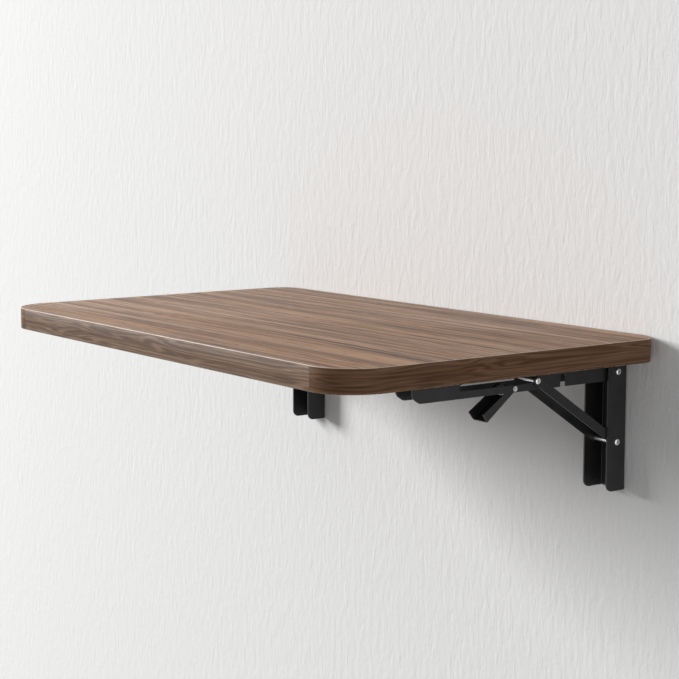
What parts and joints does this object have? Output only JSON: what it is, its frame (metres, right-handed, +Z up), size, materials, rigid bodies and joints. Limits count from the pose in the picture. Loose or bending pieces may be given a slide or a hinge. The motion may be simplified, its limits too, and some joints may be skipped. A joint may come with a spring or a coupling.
{
  "type": "wall mounted drop leaf table",
  "caption": "Wall mounted drop leaf table: a rounded walnut leaf on two black steel folding brackets, each with a slotted arm, brace bars, sliding axle and release lever.",
  "frame": {"origin": "centre of the four wall bolt holes, on the wall plane", "axes": "+X along the wall to the right seen from the room, +Y into the wall, +Z up; the leaf reaches out along -Y"},
  "size_m": [0.7, 0.421, 0.172],
  "materials": {
    "walnut_top": "satin walnut laminate, grain along the wall",
    "walnut_underside": "plain walnut laminate",
    "walnut_front_edge": "walnut edge band, long grain",
    "walnut_side_edge": "walnut edge band, darker",
    "board_core": "raw particle core, hidden",
    "black_steel": "satin black powder coat",
    "zinc_pins": "bright zinc plate",
    "spring_steel": "oiled spring steel",
    "zinc_screws": "zinc plated screws"
  },
  "bodies": {
    "wall_brackets": {"left_foot_axle": "zinc_pins", "left_foot_sleeve": "zinc_pins", "left_hinge_axle": "zinc_pins", "left_hinge_washers": "zinc_pins", "left_wall_leg": "black_steel", "right_foot_axle": "zinc_pins", "right_foot_sleeve": "zinc_pins", "right_hinge_axle": "zinc_pins", "right_hinge_washers": "zinc_pins", "right_wall_leg": "black_steel"},
    "leaf": {"board_core": "board_core", "bottom_laminate": "walnut_underside", "front_edge_band": "walnut_front_edge", "left_arm": "black_steel", "left_board_screws": "zinc_screws", "left_lever_axle": "zinc_pins", "right_arm": "black_steel", "right_board_screws": "zinc_screws", "right_lever_axle": "zinc_pins", "side_edge_band": "walnut_side_edge", "top_laminate": "walnut_top"},
    "left_brace": {"left_brace_bar_left": "black_steel", "left_brace_bar_right": "black_steel", "left_brace_rivets": "zinc_pins"},
    "left_lever": {"left_lever_spring": "spring_steel", "left_release_lever": "black_steel"},
    "left_slider": {"left_slide_axle": "zinc_pins"},
    "right_brace": {"right_brace_bar_left": "black_steel", "right_brace_bar_right": "black_steel", "right_brace_rivets": "zinc_pins"},
    "right_lever": {"right_lever_spring": "spring_steel", "right_release_lever": "black_steel"},
    "right_slider": {"right_slide_axle": "zinc_pins"}
  },
  "joints": [
    {"name": "fold", "type": "hinge", "parent": "wall_brackets", "child": "leaf", "pos_m": [0, -0.0135, 0.0687], "axis": [1, 0, 0], "range_deg": [0, 90]},
    {"name": "left_brace_swing", "type": "hinge", "parent": "wall_brackets", "child": "left_brace", "pos_m": [-0.28, -0.0135, -0.0083], "axis": [1, 0, 0], "range_deg": [0, 123.8]},
    {"name": "left_axle_slide", "type": "slide", "parent": "leaf", "child": "left_slider", "axis": [0, -1, 0], "range_m": [0, 0.1004]},
    {"name": "left_lever_press", "type": "hinge", "parent": "leaf", "child": "left_lever", "pos_m": [-0.28, -0.158, 0.0626], "axis": [-1, 0, 0], "range_deg": [0, 34.1], "stiffness_Nm_per_rad": 0.3, "springref_deg": -17.19},
    {"name": "right_brace_swing", "type": "hinge", "parent": "wall_brackets", "child": "right_brace", "pos_m": [0.28, -0.0135, -0.0083], "axis": [1, 0, 0], "range_deg": [0, 123.8]},
    {"name": "right_axle_slide", "type": "slide", "parent": "leaf", "child": "right_slider", "axis": [0, -1, 0], "range_m": [0, 0.1004]},
    {"name": "right_lever_press", "type": "hinge", "parent": "leaf", "child": "right_lever", "pos_m": [0.28, -0.158, 0.0626], "axis": [-1, 0, 0], "range_deg": [0, 34.1], "stiffness_Nm_per_rad": 0.3, "springref_deg": -17.19}
  ],
  "couplings": [
    {"joint": "left_brace_swing", "follows": "fold", "ratio": 1.3748},
    {"joint": "left_axle_slide", "follows": "fold", "m_per_rad": 0.063883},
    {"joint": "right_brace_swing", "follows": "fold", "ratio": 1.3748},
    {"joint": "right_axle_slide", "follows": "fold", "m_per_rad": 0.063883}
  ]
}
